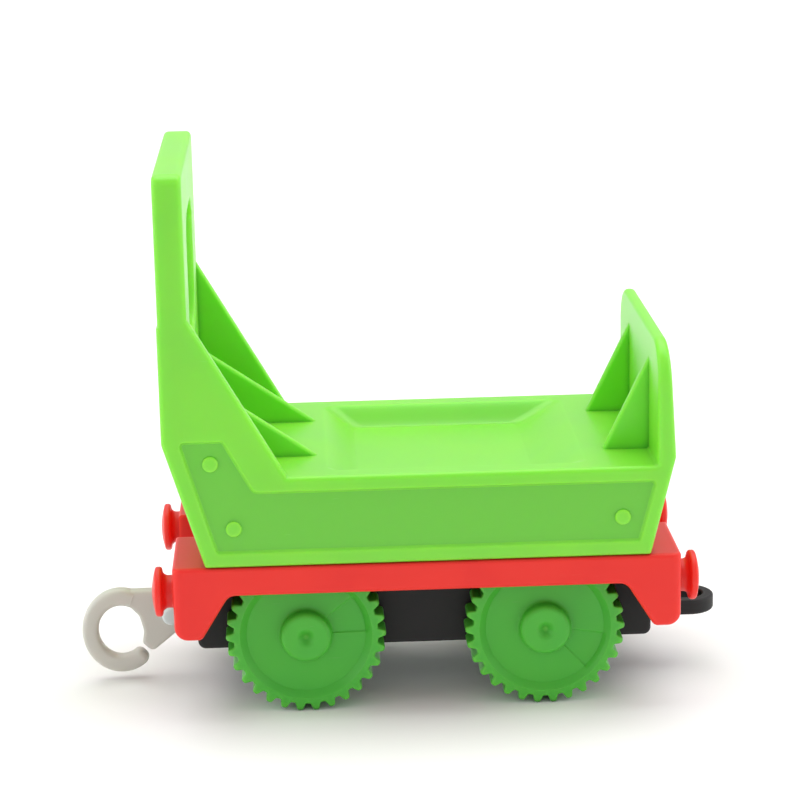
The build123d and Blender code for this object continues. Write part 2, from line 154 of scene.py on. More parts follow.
def makeMouldedGrain():
    # spark-eroded grain, slow clouds of colour and faint rub marks, all from object coordinates
    group, given, out = newGroup(
        "mouldedGrain",
        {"Grain Size": 0.35, "Cloud Size": 14.0, "Rub Amount": 0.35},
        {"Height": "NodeSocketFloat", "Cloud": "NodeSocketFloat", "Rub": "NodeSocketFloat"})
    place = addNode(group, "ShaderNodeTexCoord").outputs["Object"]
    grainScale = addNode(group, "ShaderNodeMath", {"operation": "DIVIDE"}, i0=1000.0,
                         i1=given.outputs["Grain Size"])
    grain = addNode(group, "ShaderNodeTexNoise", Vector=place, Scale=grainScale.outputs[0], Detail=3.0,
                    Roughness=0.6)
    cloudScale = addNode(group, "ShaderNodeMath", {"operation": "DIVIDE"}, i0=1000.0,
                         i1=given.outputs["Cloud Size"])
    cloud = addNode(group, "ShaderNodeTexNoise", Vector=place, Scale=cloudScale.outputs[0], Detail=2.0,
                    Roughness=0.45, Distortion=0.6)
    stretch = addNode(group, "ShaderNodeMapping", Vector=place, Rotation=(0.15, 0.5, 0.3),
                      Scale=(260.0, 900.0, 2600.0))
    streak = addNode(group, "ShaderNodeTexNoise", Vector=stretch.outputs[0], Scale=1.0, Detail=2.0)
    thin = addNode(group, "ShaderNodeMapRange", {"interpolation_type": "SMOOTHSTEP"},
                   Value=streak.outputs["Fac"], i1=0.66, i2=0.78, i3=0.0, i4=1.0)
    patch = addNode(group, "ShaderNodeTexNoise", Vector=place, Scale=95.0, Detail=1.0)
    some = addNode(group, "ShaderNodeMapRange", Value=patch.outputs["Fac"], i1=0.5, i2=0.7, i3=0.0, i4=1.0)
    rub = addNode(group, "ShaderNodeMath", {"operation": "MULTIPLY"}, i0=thin.outputs[0],
                  i1=some.outputs[0])
    rub = addNode(group, "ShaderNodeMath", {"operation": "MULTIPLY", "use_clamp": True}, i0=rub.outputs[0],
                  i1=given.outputs["Rub Amount"])
    lower = addNode(group, "ShaderNodeMath", {"operation": "MULTIPLY_ADD"}, i0=rub.outputs[0], i1=-0.5,
                    i2=grain.outputs["Fac"])
    group.links.new(lower.outputs[0], out.inputs["Height"])
    group.links.new(cloud.outputs["Fac"], out.inputs["Cloud"])
    group.links.new(rub.outputs[0], out.inputs["Rub"])
    return group


def makeEdgeHighlightAndNookShade():
    # painted highlight: outer edges come up pale and a little smoother; painted shade: inner corners are
    # deeper in colour and duller. Both are read from how much of a small ball round the point is shut in,
    # inside and outside the wall.
    group, given, out = newGroup(
        "edgeHighlightAndNookShade",
        {"Edge Gain": 1.0, "Nook Gain": 1.0},
        {"Edge Highlight": "NodeSocketFloat", "Nook Shade": "NodeSocketFloat"})
    # painted highlight mask: outer edges, where the ball is shut in on the inside
    within = addNode(group, "ShaderNodeAmbientOcclusion", {"inside": True, "samples": 6}, Distance=0.0009)
    edge = addNode(group, "ShaderNodeMapRange", {"interpolation_type": "SMOOTHSTEP"},
                   Value=within.outputs["AO"],
                   i1=0.90, i2=0.50, i3=0.0, i4=1.0)
    # painted shade mask: inner corners, where the ball is shut in on the outside
    around = addNode(group, "ShaderNodeAmbientOcclusion", {"samples": 6}, Distance=0.0016)
    nookShade = addNode(group, "ShaderNodeMapRange", {"interpolation_type": "SMOOTHSTEP"},
                   Value=around.outputs["AO"],
                   i1=0.85, i2=0.2, i3=0.0, i4=1.0)
    place = addNode(group, "ShaderNodeTexCoord").outputs["Object"]
    uneven = addNode(group, "ShaderNodeTexNoise", Vector=place, Scale=240.0, Detail=3.0)
    share = addNode(group, "ShaderNodeMapRange", Value=uneven.outputs["Fac"], i1=0.3, i2=0.7, i3=0.6,
                    i4=1.0)
    edge = addNode(group, "ShaderNodeMath", {"operation": "MULTIPLY"}, i0=edge.outputs[0],
                   i1=share.outputs[0])
    edge = addNode(group, "ShaderNodeMath", {"operation": "MULTIPLY", "use_clamp": True},
                   i0=edge.outputs[0],
                   i1=given.outputs["Edge Gain"])
    nookShade = addNode(group, "ShaderNodeMath", {"operation": "MULTIPLY", "use_clamp": True},
                   i0=nookShade.outputs[0],
                   i1=given.outputs["Nook Gain"])
    group.links.new(edge.outputs[0], out.inputs["Edge Highlight"])
    group.links.new(nookShade.outputs[0], out.inputs["Nook Shade"])
    return group


mouldedGrain = makeMouldedGrain()
edgeHighlightAndNookShade = makeEdgeHighlightAndNookShade()

# each plastic's edge colour is a painted highlight on outer edges, its nook colour painted shade in inner
# corners
plastics = {
    "limeBody": {
        "colour": (0.205, 0.665, 0.036), "cloudColour": (0.222, 0.69, 0.034),
        "edgeHighlightColour": (0.33, 0.84, 0.06), "nookShadeColour": (0.1, 0.5, 0.025),
        "rubColour": (0.26, 0.68, 0.12), "glowColour": (0.55, 1.0, 0.12),
        "rough": 0.38, "grain": 0.3, "bump": 0.1, "glow": 0.7, "depth": 2.6, "coat": 0.1, "gloss": 0.46,
    },
    "redChassis": {
        "colour": (0.78, 0.017, 0.011), "cloudColour": (0.81, 0.022, 0.013),
        "edgeHighlightColour": (1.0, 0.055, 0.035), "nookShadeColour": (0.48, 0.01, 0.008),
        "rubColour": (0.78, 0.1, 0.08), "glowColour": (1.0, 0.1, 0.05),
        "rough": 0.4, "grain": 0.3, "bump": 0.1, "glow": 0.25, "depth": 1.2, "coat": 0.04, "gloss": 0.36,
    },
    "greenWheel": {
        "colour": (0.062, 0.435, 0.038), "cloudColour": (0.072, 0.46, 0.036),
        "edgeHighlightColour": (0.16, 0.62, 0.06), "nookShadeColour": (0.035, 0.24, 0.02),
        "rubColour": (0.13, 0.44, 0.09), "glowColour": (0.3, 1.0, 0.12),
        "rough": 0.42, "grain": 0.26, "bump": 0.14, "glow": 0.2, "depth": 1.0, "coat": 0.03, "gloss": 0.38,
    },
    "blackUnderframe": {
        "colour": (0.012, 0.011, 0.012), "cloudColour": (0.016, 0.015, 0.016),
        "edgeHighlightColour": (0.04, 0.038, 0.042), "nookShadeColour": (0.007, 0.006, 0.007),
        "rubColour": (0.045, 0.045, 0.046), "glowColour": (1, 1, 1),
        "rough": 0.55, "grain": 0.22, "bump": 0.25, "glow": 0.0, "depth": 0.1, "coat": 0.0, "gloss": 0.3,
    },
    "greyHook": {
        "colour": (0.56, 0.545, 0.5), "cloudColour": (0.6, 0.58, 0.53),
        "edgeHighlightColour": (0.72, 0.7, 0.65), "nookShadeColour": (0.42, 0.4, 0.36),
        "rubColour": (0.48, 0.46, 0.42), "glowColour": (1.0, 0.92, 0.75),
        "rough": 0.4, "grain": 0.28, "bump": 0.08, "glow": 0.25, "depth": 1.4, "coat": 0.03, "gloss": 0.45,
    },
    "paleLug": {
        "colour": (0.6, 0.66, 0.67), "cloudColour": (0.64, 0.7, 0.7),
        "edgeHighlightColour": (0.75, 0.8, 0.8), "nookShadeColour": (0.46, 0.51, 0.52),
        "rubColour": (0.52, 0.54, 0.54), "glowColour": (0.8, 1.0, 1.0),
        "rough": 0.32, "grain": 0.28, "bump": 0.06, "glow": 0.3, "depth": 1.2, "coat": 0.05, "gloss": 0.5,
    },
}
fieldTone = (0.150, 0.565, 0.034)   # the sunk side fields look a shade deeper than the rest


def makePlastic(name):
    look = plastics[name]
    material = bpy.data.materials.new(name)
    material.use_nodes = True
    tree = material.node_tree
    shader = tree.nodes["Principled BSDF"]
    grain = addNode(tree, "ShaderNodeGroup", {"node_tree": mouldedGrain})
    grain.inputs["Grain Size"].default_value = look["grain"]
    shape = addNode(tree, "ShaderNodeGroup", {"node_tree": edgeHighlightAndNookShade})
    spread = addNode(tree, "ShaderNodeMapRange", Value=grain.outputs["Cloud"], i1=0.35, i2=0.65, i3=0.0,
                     i4=1.0)

    def blend(below, above, share):
        mix = addNode(tree, "ShaderNodeMix", {"data_type": "RGBA"})
        tree.links.new(share, mix.inputs["Factor"])
        for socket, value in ((mix.inputs[6], below), (mix.inputs[7], above)):
            if isinstance(value, bpy.types.NodeSocket):
                tree.links.new(value, socket)
            else:
                socket.default_value = (*value, 1)
        return mix.outputs[2]

    colour = blend(look["colour"], look["cloudColour"], spread.outputs[0])
    if name == "limeBody":
        field = addNode(tree, "ShaderNodeAttribute", {"attribute_name": "sunkField"})
        colour = blend(colour, fieldTone, field.outputs["Fac"])
    # painted highlight: outer edges are lightened towards the edge colour
    colour = blend(colour, look["edgeHighlightColour"], shape.outputs["Edge Highlight"])
    # painted shade: inner corners are darkened towards the nook colour
    colour = blend(colour, look["nookShadeColour"], shape.outputs["Nook Shade"])
    colour = blend(colour, look["rubColour"], grain.outputs["Rub"])
    tree.links.new(colour, shader.inputs["Base Color"])
    rough = addNode(tree, "ShaderNodeMath", {"operation": "MULTIPLY_ADD"}, i0=grain.outputs["Cloud"],
                    i1=0.10, i2=look["rough"] - 0.05)
    rough = addNode(tree, "ShaderNodeMath", {"operation": "MULTIPLY_ADD"}, i0=shape.outputs["Edge Highlight"],
                    i1=-0.06, i2=rough.outputs[0])
    rough = addNode(tree, "ShaderNodeMath", {"operation": "MULTIPLY_ADD"}, i0=shape.outputs["Nook Shade"],
                    i1=0.16, i2=rough.outputs[0])
    tree.links.new(rough.outputs[0], shader.inputs["Roughness"])
    bump = addNode(tree, "ShaderNodeBump", Strength=look["bump"], Distance=0.00006,
                   Height=grain.outputs["Height"])
    tree.links.new(bump.outputs["Normal"], shader.inputs["Normal"])
    shader.inputs["Subsurface Weight"].default_value = look["glow"]
    shader.inputs["Subsurface Radius"].default_value = look["glowColour"]
    shader.inputs["Subsurface Scale"].default_value = look["depth"] * mm
    shader.inputs["Coat Weight"].default_value = look["coat"]
    shader.inputs["Coat Roughness"].default_value = 0.22
    shader.inputs["Specular IOR Level"].default_value = look["gloss"]
    shader.inputs["IOR"].default_value = 1.5
    return material


def makeSteel():
    # drawn wire: fine grain and slow patches of tarnish
    material = bpy.data.materials.new("drawnSteel")
    material.use_nodes = True
    tree = material.node_tree
    shader = tree.nodes["Principled BSDF"]
    grain = addNode(tree, "ShaderNodeGroup", {"node_tree": mouldedGrain})
    grain.inputs["Grain Size"].default_value = 0.18
    ramp = addNode(tree, "ShaderNodeValToRGB", Fac=grain.outputs["Cloud"])
    ramp.color_ramp.elements[0].position = 0.35
    ramp.color_ramp.elements[0].color = (0.46, 0.46, 0.47, 1)
    ramp.color_ramp.elements[1].position = 0.65
    ramp.color_ramp.elements[1].color = (0.66, 0.66, 0.66, 1)
    tree.links.new(ramp.outputs["Color"], shader.inputs["Base Color"])
    rough = addNode(tree, "ShaderNodeMath", {"operation": "MULTIPLY_ADD"}, i0=grain.outputs["Height"],
                    i1=0.2, i2=0.2)
    tree.links.new(rough.outputs[0], shader.inputs["Roughness"])
    bump = addNode(tree, "ShaderNodeBump", Strength=0.2, Distance=0.00003, Height=grain.outputs["Height"])
    tree.links.new(bump.outputs["Normal"], shader.inputs["Normal"])
    shader.inputs["Metallic"].default_value = 1.0
    return material


def makeFloorPaint():
    material = bpy.data.materials.new("paleFloor")
    material.use_nodes = True
    tree = material.node_tree
    shader = tree.nodes["Principled BSDF"]
    place = addNode(tree, "ShaderNodeTexCoord").outputs["Object"]
    paper = addNode(tree, "ShaderNodeTexNoise", Vector=place, Scale=3.0, Detail=2.0)
    ramp = addNode(tree, "ShaderNodeValToRGB", Fac=paper.outputs["Fac"])
    ramp.color_ramp.elements[0].color = (0.90, 0.90, 0.90, 1)
    ramp.color_ramp.elements[1].color = (0.93, 0.93, 0.925, 1)
    tree.links.new(ramp.outputs["Color"], shader.inputs["Base Color"])
    shader.inputs["Roughness"].default_value = 0.9
    shader.inputs["Specular IOR Level"].default_value = 0.1
    return material


materials = {name: makePlastic(name) for name in plastics}
materials["drawnSteel"] = makeSteel()
materials["paleFloor"] = makeFloorPaint()
print("materials made:", ", ".join(materials))


# ---- mesh tools

def roundOutline(corners, steps=6):
    # Each corner (a, b, radius) becomes the arc that touches both of its sides: the centre lies on the
    # bisector, radius / sin(half angle) from the corner.  Corners run anticlockwise.
    given = np.array(corners, float)
    corner, radius = given[:, :2], given[:, 2]
    back = np.roll(corner, 1, 0) - corner
    ahead = np.roll(corner, -1, 0) - corner
    back /= np.linalg.norm(back, axis=1)[:, None]
    ahead /= np.linalg.norm(ahead, axis=1)[:, None]
    bisector = back + ahead
    bisector /= np.linalg.norm(bisector, axis=1)[:, None]
    half = np.arccos(np.clip((back * ahead).sum(1), -1, 1)) / 2
    outward = np.sign(back[:, 1] * ahead[:, 0] - back[:, 0] * ahead[:, 1])
    slide = bisector / np.sin(half)[:, None]
    centre = corner + slide * radius[:, None]
    start = np.arctan2(*(back / np.tan(half)[:, None] - slide)[:, ::-1].T)
    stop = np.arctan2(*(ahead / np.tan(half)[:, None] - slide)[:, ::-1].T)
    sweep = (stop - start + np.pi) % (2 * np.pi) - np.pi
    angle = start[:, None] + sweep[:, None] * np.linspace(0, 1, steps + 1)
    radial = np.stack([np.cos(angle), np.sin(angle)], 2)
    return corner, centre, slide, radius, outward, radial


def insetOutline(outline, inset):
    # The outline moved inwards: arcs keep their centres and change radius until it runs out,
    # and after that the corner slides along its bisector.
    corner, centre, slide, radius, outward, radial = outline
    left = radius - outward * inset
    onArc = centre[:, None] + radial * np.maximum(left, 0)[:, None, None]
    pastArc = np.repeat((corner + slide * (outward * inset)[:, None])[:, None], radial.shape[1], 1)
    return np.where(left[:, None, None] >= 0, onArc, pastArc).reshape(-1, 2)


def softEnds(low, high, lowRound, highRound, steps=5):
    # rows (place along the axis, inset) of a slab whose two ends turn in by quarter circles
    turn = np.linspace(0, np.pi / 2, steps + 1)
    first = [(low + lowRound * (1 - math.cos(a)), lowRound * (1 - math.sin(a))) for a in turn]
    last = [(high - highRound * (1 - math.cos(a)), highRound * (1 - math.sin(a))) for a in turn[::-1]]
    return first + last


def flaredEnds(low, high, lowFlare, highFlare, steps=5):
    # the same for a cutter that leaves rounded rims: it widens by a quarter circle towards each face
    turn = np.linspace(0, np.radians(78), steps + 1)
    first = [(low + lowFlare * (1 - math.sin(a)), -lowFlare * (1 - math.cos(a))) for a in turn[::-1]]
    last = [(high - highFlare * (1 - math.sin(a)), -highFlare * (1 - math.cos(a))) for a in turn]
    out = 1.0   # how far the cutter reaches past each face
    steep = out * 4.7
    first = [(first[0][0] - out, first[0][1] - (steep if lowFlare else 0))] + first
    last = last + [(last[-1][0] + out, last[-1][1] - (steep if highFlare else 0))]
    return first + last


# which axes the outline and the rows use
seenFrom = {"side": (0, 2, 1), "front": (1, 2, 0), "top": (0, 1, 2)}
spunAbout = {"x": (1, 2, 0), "y": (2, 0, 1), "z": (0, 1, 2)}


def makeMesh(name, points, faces):
    mesh = bpy.data.meshes.new(name)
    moved = np.asarray(points, float) + (middleX, 0, 0)
    mesh.from_pydata(moved * mm, [], faces)
    mesh.validate()
    obj = bpy.data.objects.new(name, mesh)
    bpy.context.scene.collection.objects.link(obj)
    triangles = np.array([[f[0], f[i], f[i + 1]] for f in faces for i in range(1, len(f) - 1)])
    a, b, c = (moved[triangles[:, k]] for k in range(3))
    if (np.cross(a, b) * c).sum() < 0:   # signed volume: negative means that the faces point inwards
        mesh.flip_normals()
    return obj


def gridFaces(rows, columns):
    # quads between neighbouring rows of closed rings
    r, c = np.meshgrid(np.arange(rows - 1), np.arange(columns), indexing="ij")
    ahead = (c + 1) % columns
    quads = np.stack([r * columns + c, r * columns + ahead, (r + 1) * columns + ahead,
                      (r + 1) * columns + c], 2)
    return quads.reshape(-1, 4).tolist()


def closedFaces(rows, columns):
    # the same, with a flat face over the first and the last ring
    faces = gridFaces(rows, columns)
    faces.append(list(range(columns))[::-1])
    faces.append(list(range(columns * (rows - 1), columns * rows)))
    return faces


def slab(name, corners, rows, seen, steps=6, shorten=None):
    # an outline carried along the third axis, each row inset by its own amount, closed flat at each end
    outline = roundOutline(corners, steps)
    axes = seenFrom[seen]
    rings = []
    for place, inset in rows:
        ring = np.zeros((outline[5].shape[0] * outline[5].shape[1], 3))
        ring[:, axes[:2]] = insetOutline(outline, inset)
        ring[:, axes[2]] = place
        if shorten:
            ring = shorten(ring)
        rings.append(ring)
    return makeMesh(name, np.concatenate(rings), closedFaces(len(rings), len(rings[0])))


def boxSlab(x0, x1, y0, y1, z0, z1, soft=0.1):
    box = [(x0, y0, soft), (x1, y0, soft), (x1, y1, soft), (x0, y1, soft)]
    return slab("box", box, [(z0, 0), (z1, 0)], "top", 2)


def turned(name, profile, centre, axis, around=64, closed=False):
    # a profile of (radius, place along the axis) spun round the axis; a radius of 0 ends in a pole
    profile = np.array(profile, float)
    angle = np.linspace(0, 2 * np.pi, around, endpoint=False)
    rings = np.zeros((len(profile), around, 3))
    spun = spunAbout[axis]
    rings[:, :, spun[0]] = profile[:, :1] * np.cos(angle)
    rings[:, :, spun[1]] = profile[:, :1] * np.sin(angle)
    rings[:, :, spun[2]] = profile[:, 1:]
    if closed:   # a ring-shaped solid: the last row joins the first
        low = np.arange(around)
        high = low + around * (len(profile) - 1)
        faces = gridFaces(len(profile), around)
        faces += np.stack([high, np.roll(high, -1), np.roll(low, -1), low], 1).tolist()
    else:
        faces = closedFaces(len(profile), around)
    return makeMesh(name, rings.reshape(-1, 3) + np.array(centre, float), faces)


def post(x, y, low, high, radius, around=40):
    return turned("post", [(radius, low), (radius, high)], (x, y, 0), "z", around)


def combine(base, adds=(), cuts=()):
    # joins and cuts closed shells, then drops the tools
    for operation, tools in (("UNION", adds), ("DIFFERENCE", cuts)):
        if not tools:
            continue
        group = bpy.data.collections.new("tools")
        bpy.context.scene.collection.children.link(group)
        for tool in tools:
            group.objects.link(tool)
        modifier = base.modifiers.new("join", "BOOLEAN")
        modifier.operation = operation
        modifier.operand_type = "COLLECTION"
        modifier.collection = group
        modifier.solver = "EXACT"
        modifier.use_self = operation == "UNION"
        bpy.context.view_layer.update()
        made = bpy.data.meshes.new_from_object(base.evaluated_get(bpy.context.evaluated_depsgraph_get()))
        base.modifiers.clear()
        base.data = made
        for tool in tools:
            bpy.data.objects.remove(tool)
        bpy.data.collections.remove(group)
    return base


def finishPiece(obj, name, material, body, standsFor, sharp=32):
    obj.name = name
    obj.data.name = name
    merge = obj.modifiers.new("merge", "WELD")
    merge.merge_threshold = 0.002 * mm
    bpy.context.view_layer.update()
    obj.data = bpy.data.meshes.new_from_object(obj.evaluated_get(bpy.context.evaluated_depsgraph_get()))
    obj.modifiers.clear()
    obj.data.shade_smooth()
    obj.data.set_sharp_from_angle(angle=math.radians(sharp))
    weighted = obj.modifiers.new("weighted", "WEIGHTED_NORMAL")
    weighted.keep_sharp = True
    obj.data.materials.clear()
    obj.data.materials.append(materials[material])
    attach(obj, body)
    if standsFor:
        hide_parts(*standsFor)
    print("piece", name, len(obj.data.polygons), "faces")
    return obj


# ---- load body

loadBody = {
    "halfWidth": 24.5, "seat": 27.0, "deck": 41.9,
    "headboardX": -42.0, "headboardInner": -37.3, "headboardTop": 91.1, "topCorner": 2.0,
    "backStep": 0.2, "stepLevel": 66.9, "kneeLevel": 47.7, "lowerHalf": 35.9,
    "gussetTop": 68.0, "gussetFoot": -22.3, "gussetThick": 2.2,
    "wallInner": 37.3, "wallOuter": 39.3, "wallTop": 62.0, "wallCorner": 6.5,
    "endKneeX": 40.35, "endKneeLevel": 43.2,
    "windowHalf": 12.5, "windowSill": 60.0, "windowTop": 82.0, "windowRound": 5.0,
    "edge": 0.85, "ribEdge": 0.6, "ribThick": 1.5,
    "frontRib": {"y": 11.0, "top": 55.8, "foot": -17.2},
    "rearRib": {"y": 12.4, "top": 57.5, "foot": 29.7},
    "tray": {"x0": -15.5, "x1": 26.0, "half": 20.3, "depth": 3.2, "frontRun": 4.5, "rearRun": 7.5,
             "draft": 2.6, "soften": 0.5, "corner": 2.2},
    "panelDepth": 0.5,
    "rivets": ((-34.5, 44.4), (-31.1, 33.5), (31.7, 33.5)), "rivetRadius": 1.3,
    "boss": {"x": 27.0, "y": 8.0, "radius": 2.9, "hole": 1.3},
    "wall": 2.2,
}


def trayCutter(s):
    # Level sections from the flat floor up past the deck, each a rectangle with round corners.  The four
    # sides move out with height along a soft S, part straight ramp and part half a cosine wave, so that
    # floor, slopes and rim run into each other softly.
    t = s["tray"]
    turn = np.linspace(0, np.pi, 22)
    level = (1 - np.cos(turn)) / 2 * t["depth"]
    share = turn / np.pi * 0.55 + (1 - np.cos(turn)) / 2 * 0.45
    share = np.append(share, 1.06)
    level = np.append(level, t["depth"] + 0.4)
    soft = t["soften"]
    rings = []
    for z, f in zip(level, share):
        left = t["x0"] - soft + (t["frontRun"] + 2 * soft) * (1 - f)
        right = t["x1"] + soft - (t["rearRun"] + 2 * soft) * (1 - f)
        wide = t["half"] + soft - (t["draft"] + 2 * soft) * (1 - f)
        corner = t["corner"]
        box = [(left, -wide, corner), (right, -wide, corner), (right, wide, corner), (left, wide, corner)]
        flat = insetOutline(roundOutline(box, 8), 0)
        rings.append(np.column_stack([flat, np.full(len(flat), s["deck"] - t["depth"] + z)]))
    return makeMesh("tray", np.concatenate(rings), closedFaces(len(rings), len(rings[0])))


def makeLoadBody(s):
    half, edge, deck = s["halfWidth"], s["edge"], s["deck"]
    backX = s["headboardX"] - s["backStep"]
    lean = (s["endKneeX"] - s["wallOuter"]) / (s["wallTop"] - s["endKneeLevel"])
    wallSeam = s["wallTop"] - s["wallCorner"] - 1.0
    # lower part: sloping ends, deck, most of the end wall and the back of the headboard up to its step
    lowerCorners = [
        (-s["lowerHalf"], s["seat"], 0.5), (s["lowerHalf"] + 0.4, s["seat"], 0.5),
        (s["endKneeX"], s["endKneeLevel"], 1.2),
        (s["wallOuter"] + (s["wallTop"] - wallSeam) * lean, wallSeam, 0.1),
        (s["wallInner"], wallSeam, 0.1), (s["wallInner"], deck, 0.5),
        (s["headboardInner"], deck, 0.4), (s["headboardInner"], s["stepLevel"], 0.2),
        (backX, s["stepLevel"], 0.3), (backX, s["kneeLevel"], 2.0)]
    base = slab("lower", lowerCorners, softEnds(-half, half, edge, edge), "side")
    # headboard and end wall are plates with rounded top corners, seen along the wagon
    headLow = s["kneeLevel"] + 0.4
    headCorners = [(-half, headLow, 0.1), (half, headLow, 0.1),
                   (half, s["headboardTop"], s["topCorner"]), (-half, s["headboardTop"], s["topCorner"])]
    headboard = slab("headboard", headCorners,
                     softEnds(s["headboardX"], s["headboardInner"], edge, edge), "front", 8)
    wallLow = wallSeam - 3.0

    def leanOut(ring):
        outer = (ring[:, 0] - s["wallInner"]) / (s["wallOuter"] - s["wallInner"])
        ring[:, 0] += np.clip(outer, 0, 1) * (s["wallTop"] - ring[:, 2]) * lean
        return ring

    wallCorners = [(-half, wallLow, 0.1), (half, wallLow, 0.1),
                   (half, s["wallTop"], s["wallCorner"]), (-half, s["wallTop"], s["wallCorner"])]
    endWall = slab("endWall", wallCorners, softEnds(s["wallInner"], s["wallOuter"], edge, edge),
                   "front", 12, leanOut)
    adds = [headboard, endWall]
    run = (s["gussetFoot"] - s["headboardInner"]) / (s["gussetTop"] - deck)
    below = deck - 2.0
    for side in (-1, 1):
        gusset = [(s["headboardInner"] - 2.6, below, 0.1), (s["gussetFoot"] + 2.0 * run, below, 0.1),
                  (s["headboardInner"], s["gussetTop"], 0.1),
                  (s["headboardInner"] - 2.6, s["gussetTop"], 0.1)]
        y0, y1 = sorted((side * half, side * (half - s["gussetThick"])))
        rounds = (edge, 0.45) if side < 0 else (0.45, edge)
        adds.append(slab("gusset", gusset, softEnds(y0, y1, *rounds), "side", 3))
        for rib, wallX in ((s["frontRib"], s["headboardInner"] - 0.5),
                           (s["rearRib"], s["wallInner"] + 0.5)):
            turn = 1 if wallX < 0 else -1
            slope = (rib["foot"] - (wallX + 0.5 * turn)) / (rib["top"] - deck)
            outline = [(wallX, deck - 0.6, 0.05), (rib["foot"] + 0.6 * slope, deck - 0.6, 0.05),
                       (wallX, rib["top"] + 0.5 * turn / slope, 0.05)]
            if turn < 0:
                outline = outline[::-1]
            y = side * rib["y"]
            rows = softEnds(y - s["ribThick"] / 2, y + s["ribThick"] / 2, s["ribEdge"], s["ribEdge"], 4)
            adds.append(slab("rib", outline, rows, "side", 2))
    window = [(-s["windowHalf"], s["windowSill"], s["windowRound"]),
              (s["windowHalf"], s["windowSill"], s["windowRound"]),
              (s["windowHalf"], s["windowTop"], s["windowRound"]),
              (-s["windowHalf"], s["windowTop"], s["windowRound"])]
    cuts = [slab("window", window, flaredEnds(backX, s["headboardInner"], 0.5, 0.5), "front", 12),
            trayCutter(s)]
    # sunk field of each side: its wall turns in softly at the floor and out softly at the rim
    field = [(-s["lowerHalf"] + 2.0, s["seat"] + 2.5, 0.7), (s["lowerHalf"] - 1.4, s["seat"] + 2.5, 0.7),
             (s["endKneeX"] - 3.25, deck - 2.4, 0.7), (s["headboardX"] + 14.3, deck - 2.4, 1.4),
             (s["headboardX"] + 9.6, s["kneeLevel"] + 0.4, 0.7),
             (s["headboardX"] + 2.6, s["kneeLevel"] + 0.4, 0.7)]
    depth = s["panelDepth"]
    soft = ((depth, 0.32), (depth - 0.03, 0.18), (depth - 0.12, 0.07), (depth - 0.25, 0.0),
            (depth - 0.38, -0.06),
            (depth - 0.46, -0.17), (0.0, -0.34), (-0.3, -1.4))
    for side in (-1, 1):
        rows = [(side * (half - d), inset) for d, inset in soft]
        cuts.append(slab("field", field, rows, "side", 6))
    # the body is a shell, open below
    ceiling, wall, low = deck - s["wall"], s["wall"], s["lowerHalf"] - s["wall"]
    t = s["tray"]
    hollow = [(-low, s["seat"] - 1, 0.3), (low + 0.4, s["seat"] - 1, 0.3),
              (s["endKneeX"] - wall - 0.6, ceiling, 0.3),
              (t["x1"] + 0.5, ceiling, 0.3), (t["x1"] - t["rearRun"] + 0.5, ceiling - t["depth"], 0.3),
              (t["x0"] + t["frontRun"] - 0.5, ceiling - t["depth"], 0.3), (t["x0"] - 0.5, ceiling, 0.3),
              (s["headboardX"] + wall + 2.2, ceiling, 0.3)]
    inner = half - wall - s["panelDepth"]
    cuts.append(slab("hollow", hollow, [(-inner, 0), (inner, 0)], "side", 2))
    base = combine(base, adds, cuts)
    later = []
    for side in (-1, 1):
        for x, z in s["rivets"]:
            r = s["rivetRadius"]
            face = half - 0.06
            turn = np.linspace(0, np.pi / 2, 6)
            profile = [(r, half - depth - 0.4)]
            profile += [(r - 0.3 + 0.3 * math.cos(a), face - 0.3 + 0.3 * math.sin(a)) for a in turn]
            profile += [(r * 0.5, face + 0.03), (0.02, face + 0.05)]
            profile = [(q, side * p) for q, p in profile]
            later.append(turned("rivet", profile, (x, 0, z), "y", 40))
        for end in (-1, 1):
            boss = s["boss"]
            tube = [(boss["hole"], s["seat"]), (boss["radius"], s["seat"]), (boss["radius"], deck - 1.6),
                    (boss["hole"], deck - 1.6)]
            later.append(turned("boss", tube, (end * boss["x"], side * boss["y"], 0), "z", 40, closed=True))
    return combine(base, later)


def markFields(obj, s):
    # a face attribute: 1 on the flat floors of the sunk fields, 0 elsewhere
    count = len(obj.data.polygons)
    centre, normal = np.zeros(count * 3), np.zeros(count * 3)
    obj.data.polygons.foreach_get("center", centre)
    obj.data.polygons.foreach_get("normal", normal)
    level = np.abs(centre.reshape(-1, 3)[:, 1]) / mm
    flat = np.abs(normal.reshape(-1, 3)[:, 1]) > 0.995
    inField = flat & (np.abs(level - (s["halfWidth"] - s["panelDepth"])) < 0.03)
    mark = obj.data.attributes.new("sunkField", "FLOAT", "FACE")
    mark.data.foreach_set("value", inField.astype(np.float32))


bodyPiece = finishPiece(makeLoadBody(loadBody), "load_body_shell", "limeBody", "wagon", ["cargo_body"])
markFields(bodyPiece, loadBody)


# ---- chassis

chassis = {
    "half": 41.35, "halfWidth": 24.3, "top": 27.0, "plate": 2.0, "sill": 22.1, "sillThick": 2.2,
    "skirtBottom": 14.7, "skirtInner": 36.9, "slopeRun": 4.6, "endThick": 2.0, "endBeamBottom": 17.4,
    "cornerHalf": 13.0, "notchHalf": 6.3, "notchDepth": 4.8, "edge": 0.7, "cornerRound": 1.4,
    "underFront": -38.0, "underRear": 37.8, "wheelSlot": (13.6, 19.8, 14.1), "axles": (-20.0, 19.5),
    "bufferY": 18.0, "bufferZ": 21.35, "bossRadius": 3.0, "bossLong": 2.3,
    # over the hook pin and in the loop's tongue
    "posts": ((-34.6, 15.35), (33.2, 13.9)), "postRadius": 2.6,
}


